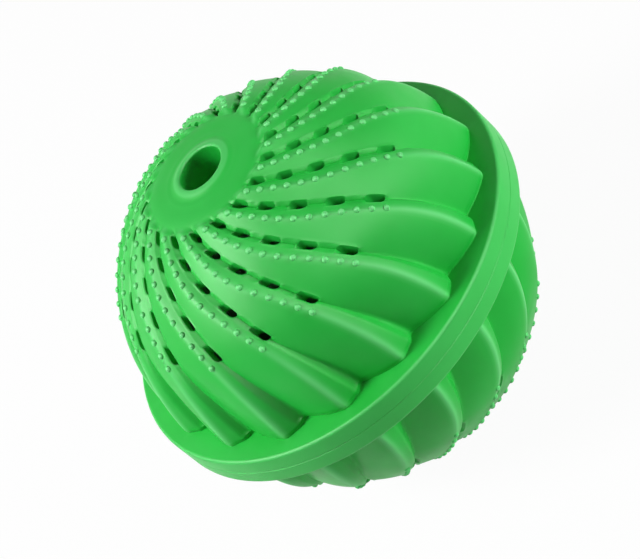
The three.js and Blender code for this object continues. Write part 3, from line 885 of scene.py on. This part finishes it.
beads = {}
for seed, kind in enumerate(BEAD_KINDS):
    points = bead_points(kind, seed)
    faces = ball_faces(numbered(points))
    beads[kind] = make_piece(f"{kind}_beads", f"{kind}_charge", points, faces, SMOOTH)
    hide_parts(*[f"{kind}_bead_{i + 1}" for i in range(BEADS)])

# %% [markdown]
# ## Moulded plastic
# The shells are satin green plastic: a cloudy colour, a fine grain from the mould, and a gloss that wanders a
# little. The inner pieces share that skin in a paler green, so it is a node group with its own inputs. It
# puts out a tone, a roughness and a height, and the shader that uses them stays in each material.

# %% Node group for a moulded skin
NOISE_LOW, NOISE_HIGH = 0.3, 0.7


def feed(tree, node, **values):
    """The node with its named inputs filled: a link where the value is a socket, else a constant."""
    for name, value in values.items():
        socket = node.inputs[name.replace("_", " ").title()]
        if isinstance(value, bpy.types.NodeSocket):
            tree.links.new(value, socket)
        else:
            socket.default_value = value
    return node


def add_noise(tree, place, scale, detail):
    """A noise texture on object coordinates; scale counts features in a metre."""
    noise = tree.nodes.new("ShaderNodeTexNoise")
    return feed(tree, noise, vector=place, scale=scale, detail=detail).outputs["Fac"]


def add_range(tree, value, low, high):
    """The range in which noise mostly lies, stretched to run from low to high."""
    node = tree.nodes.new("ShaderNodeMapRange")
    feed(tree, node, value=value, from_min=NOISE_LOW, from_max=NOISE_HIGH, to_min=low, to_max=high)
    return node.outputs["Result"]


def value_group(name, inputs, outputs):
    """A node group of number sockets, with its input and output nodes and its object coordinates."""
    group = bpy.data.node_groups.new(name, "ShaderNodeTree")
    for side, sockets in (("INPUT", inputs), ("OUTPUT", outputs)):
        for socket in sockets:
            group.interface.new_socket(name=socket, in_out=side, socket_type="NodeSocketFloat")
    place = group.nodes.new("ShaderNodeTexCoord").outputs["Object"]
    return group, group.nodes.new("NodeGroupInput"), group.nodes.new("NodeGroupOutput"), place


moulded_skin, skin_in, skin_out, skin_place = value_group(
    "moulded_skin", ("Roughness Low", "Roughness High"), ("Tone", "Roughness", "Height"))
cloud = add_noise(moulded_skin, skin_place, scale=45, detail=3)
gloss = add_noise(moulded_skin, skin_place, scale=160, detail=2)
grain = add_noise(moulded_skin, skin_place, scale=2600, detail=2)
tone = add_range(moulded_skin, cloud, low=0.0, high=1.0)
rough = add_range(moulded_skin, gloss, skin_in.outputs["Roughness Low"], skin_in.outputs["Roughness High"])
feed(moulded_skin, skin_out, tone=tone, roughness=rough, height=grain)
print("node group:", moulded_skin.name, "with", len(moulded_skin.nodes), "nodes")

# %% [markdown]
# Each plastic is then a Principled shader with two close greens mixed by the tone, and a paler third that
# stands for pale rubbing and also paints sheen and highlights: on the nubs, the crests, the lip, the ridges'
# ends and the band. Constants such as the specular level are set on the shader's own sockets, and only what
# varies over the surface is linked.

# %% Green shells and pale inner plastic
def new_material(name):
    """A new node material, its tree and its Principled shader."""
    material = bpy.data.materials.new(name)
    material.use_nodes = True
    return material, material.node_tree, material.node_tree.nodes["Principled BSDF"]


def add_group(tree, group, **values):
    """Outputs of a group's node in a material, with values on its named inputs."""
    node = tree.nodes.new("ShaderNodeGroup")
    node.node_tree = group
    return feed(tree, node, **values).outputs


def mix_colours(tree, factor, dark, light):
    """A colour between dark and light by a factor that changes over the surface."""
    mix = tree.nodes.new("ShaderNodeMix")
    mix.data_type = "RGBA"
    return feed(tree, mix, factor=factor, a=(*dark, 1), b=(*light, 1)).outputs["Result"]


def add_bump(tree, height, strength, distance):
    """A normal bent by a height, as strongly and as deep as said."""
    bump = tree.nodes.new("ShaderNodeBump")
    return feed(tree, bump, height=height, strength=strength, distance=distance).outputs["Normal"]


def plastic(name, colours, specular, **roughness):
    """Moulded plastic: tone mixes two colours, a share of rubbing and painted sheen a third, and the grain
    bends the normal.
    """
    dark, light, pale_wear_and_sheen = colours
    material, tree, shader = new_material(name)
    skin = add_group(tree, moulded_skin, **roughness)
    wear_and_sheen = tree.nodes.new("ShaderNodeAttribute")
    wear_and_sheen.attribute_name = "wear_and_sheen"
    wear_and_sheen_colour = mix_colours(tree, wear_and_sheen.outputs["Fac"], dark, pale_wear_and_sheen)
    feed(tree, wear_and_sheen_colour.node, a=mix_colours(tree, skin["Tone"], dark, light))
    grained = add_bump(tree, skin["Height"], strength=0.3, distance=0.02 * MM)
    feed(tree, shader, base_color=wear_and_sheen_colour, roughness=skin["Roughness"], normal=grained)
    shader.inputs["Specular IOR Level"].default_value = specular
    return material


# The third green of each set is the paler colour that paints sheen and highlights and stands for rubbing.
GREEN = (0.007, 0.386, 0.033), (0.016, 0.441, 0.05), (0.12, 0.62, 0.18)
PALE_GREEN = (0.36, 0.66, 0.4), (0.43, 0.73, 0.47), (0.5, 0.78, 0.54)
green_plastic = plastic("green_satin_plastic", GREEN, specular=0.2, roughness_low=0.4, roughness_high=0.48)
pale_plastic = plastic("pale_inner_plastic", PALE_GREEN, specular=0.4, roughness_low=0.42, roughness_high=0.52)
for piece in (upper_shell, lower_shell, upper_nubs, lower_nubs):
    piece.data.materials.append(green_plastic)
tube.data.materials.append(pale_plastic)
print("plastics:", green_plastic.name, "and", pale_plastic.name)

# %% [markdown]
# The cross-shaped divider is flat sheet with a round sleeve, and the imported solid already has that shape. It
# stays, and only its material slots change.

# %% Divider in pale plastic
divider = bpy.data.objects["chamber_divider"]
for material_slot in divider.material_slots:
    material_slot.material = pale_plastic
print("divider slots:", len(divider.material_slots))

# %% [markdown]
# ## Fired clay
# The beads share one effect too: darker specks of grog in the clay, and a surface pitted by firing. The four
# materials differ only in their colours and in the scale of the specks.

# %% Node group for fired clay, and four materials
fired_clay, clay_in, clay_out, clay_place = value_group(
    "fired_clay", ("Speck Scale",), ("Specks", "Roughness", "Height"))
grog = add_noise(fired_clay, clay_place, scale=clay_in.outputs["Speck Scale"], detail=1)
pits = add_noise(fired_clay, clay_place, scale=1800, detail=4)
grog_share = add_range(fired_clay, grog, low=-0.6, high=1.2)
pit_roughness = add_range(fired_clay, pits, low=0.45, high=0.7)
feed(fired_clay, clay_out, specks=grog_share, roughness=pit_roughness, height=pits)


def ceramic(name, body, specks, scale):
    """Fired clay: specks of a second colour in the body's colour, and pits that bend the normal."""
    material, tree, shader = new_material(name)
    clay = add_group(tree, fired_clay, speck_scale=scale)
    speckled = mix_colours(tree, clay["Specks"], body, specks)
    pitted = add_bump(tree, clay["Height"], strength=0.5, distance=0.08 * MM)
    feed(tree, shader, base_color=speckled, roughness=clay["Roughness"], normal=pitted)
    return material


CLAYS = {
    "ivory": ((0.82, 0.77, 0.64), (0.62, 0.55, 0.42), 800.0),
    "grey": ((0.28, 0.29, 0.29), (0.12, 0.125, 0.13), 1100.0),
    "pink": ((0.69, 0.39, 0.32), (0.5, 0.24, 0.19), 700.0),
    "tan": ((0.48, 0.27, 0.11), (0.3, 0.15, 0.06), 900.0),
}
for kind, clay in CLAYS.items():
    beads[kind].data.materials.append(ceramic(f"{kind}_clay", *clay))
print("clays:", ", ".join(CLAYS))

# %% [markdown]
# ## Floor and light
# The photograph's ground is pure white with hardly a shadow. A square under the ball, far larger than the
# picture, stands for it.

# %% Floor
FLOOR_HALF = 3.0

floor_mesh = bpy.data.meshes.new("floor")
floor_low = cad_box[0][2]
corners = [(x * FLOOR_HALF, y * FLOOR_HALF, floor_low) for x, y in ((-1, -1), (1, -1), (1, 1), (-1, 1))]
floor_mesh.from_pydata(corners, [], [(0, 1, 2, 3)])
floor = bpy.data.objects.new("floor", floor_mesh)
scene.collection.objects.link(floor)
print("floor at", round(floor_low / MM, 1), "mm")

# %% [markdown]
# The floor is mostly a plain white glow for rays that come from the camera or through gloss and glass, mixed
# with a little ordinary grey surface that keeps the ball's shadow. All other rays see only that surface, so
# no extra light is made.

# %% White of the floor
FLOOR_GLOW = 0.96
FLOOR_GREY = (0.7, 0.7, 0.7, 1)
FLOOR_ROUGHNESS = 0.9


def seen_rays(tree):
    """One for camera, glossy and transmission rays, else zero: the larger of the three of Light Path."""
    path = tree.nodes.new("ShaderNodeLightPath")
    seen = path.outputs["Is Camera Ray"]
    for name in ("Is Glossy Ray", "Is Transmission Ray"):
        larger = tree.nodes.new("ShaderNodeMath")
        larger.operation = "MAXIMUM"
        tree.links.new(seen, larger.inputs[0])
        tree.links.new(path.outputs[name], larger.inputs[1])
        seen = larger.outputs[0]
    return seen


def mix_by_ray(tree, factor, ordinary, seen, end):
    """Two shaders mixed by a factor of the ray, ordinary at 0 and seen at 1, and led to the end node."""
    mix = tree.nodes.new("ShaderNodeMixShader")
    for place, source in enumerate((factor, ordinary.outputs[0], seen.outputs[0])):
        tree.links.new(source, mix.inputs[place])
    tree.links.new(mix.outputs[0], tree.nodes[end].inputs["Surface"])


floor_material, floor_tree, floor_shader = new_material("white_floor")
floor_mesh.materials.append(floor_material)
feed(floor_tree, floor_shader, base_color=FLOOR_GREY, roughness=FLOOR_ROUGHNESS)
floor_shader.inputs["Specular IOR Level"].default_value = 0
glow = floor_tree.nodes.new("ShaderNodeEmission")
share = floor_tree.nodes.new("ShaderNodeMath")
share.operation = "MULTIPLY"
share.inputs[1].default_value = FLOOR_GLOW
floor_tree.links.new(seen_rays(floor_tree), share.inputs[0])
mix_by_ray(floor_tree, share.outputs[0], floor_shader, glow, "Material Output")
print("floor material:", floor_material.name)

# %% [markdown]
# The world follows the same rule: white to the camera and in the gloss, and a faint light for all other rays.

# %% World
AMBIENT = 0.1
WHITE = (1, 1, 1, 1)

world = bpy.data.worlds.new("studio")
scene.world = world
world.use_nodes = True
world_tree = world.node_tree
ambient = world_tree.nodes["Background"]
feed(world_tree, ambient, color=WHITE, strength=AMBIENT)
white = feed(world_tree, world_tree.nodes.new("ShaderNodeBackground"), color=WHITE)
mix_by_ray(world_tree, seen_rays(world_tree), ambient, white, "World Output")
print("world:", world.name, "with", len(world_tree.nodes), "nodes")

# %% [markdown]
# Two soft boxes light the ball as in the photograph: the key from the left and above, so that the flanks on the
# near side and the band's top on the right fall into shade, and a fill from the right, hardly higher than the
# band. They light the colours and don't show in the gloss. Three larger, dimmer boards do the opposite: one
# round each box and one over the camera. They are hidden from the diffuse rays, so they lay a broad sheen on
# the plastic and add no light to its colour.

# %% Soft boxes
LAMP_DISTANCE = 0.8
FRONT_RISE = 0.5


def soft_box(name, direction, size, power):
    """A square area light that stands in a direction from the ball and faces it."""
    light = bpy.data.lights.new(name, "AREA")
    light.size = size
    light.energy = power
    lamp = bpy.data.objects.new(name, light)
    away = Vector(direction).normalized()
    facing = away.to_track_quat("Z", "Y").to_matrix().to_4x4()
    lamp.matrix_world = Matrix.Translation(away * LAMP_DISTANCE) @ facing
    scene.collection.objects.link(lamp)
    return lamp


key = soft_box("key", (-0.65, 0.09, 0.755), size=0.28, power=7.2)
fill = soft_box("fill", (0.86, -0.5, 0.1), size=0.26, power=5.8)
for lamp in (key, fill):
    lamp.visible_glossy = False

boards = (
    soft_box("key_board", key.location, size=0.6, power=19),
    soft_box("fill_board", fill.location, size=0.6, power=7),
    soft_box("front_board", back + FRONT_RISE * up, size=0.8, power=14),
)
for board in boards:
    board.visible_diffuse = False
scene.view_settings.view_transform = "Standard"
print("lights:", key.name, "and", fill.name, "with", len(boards), "boards")
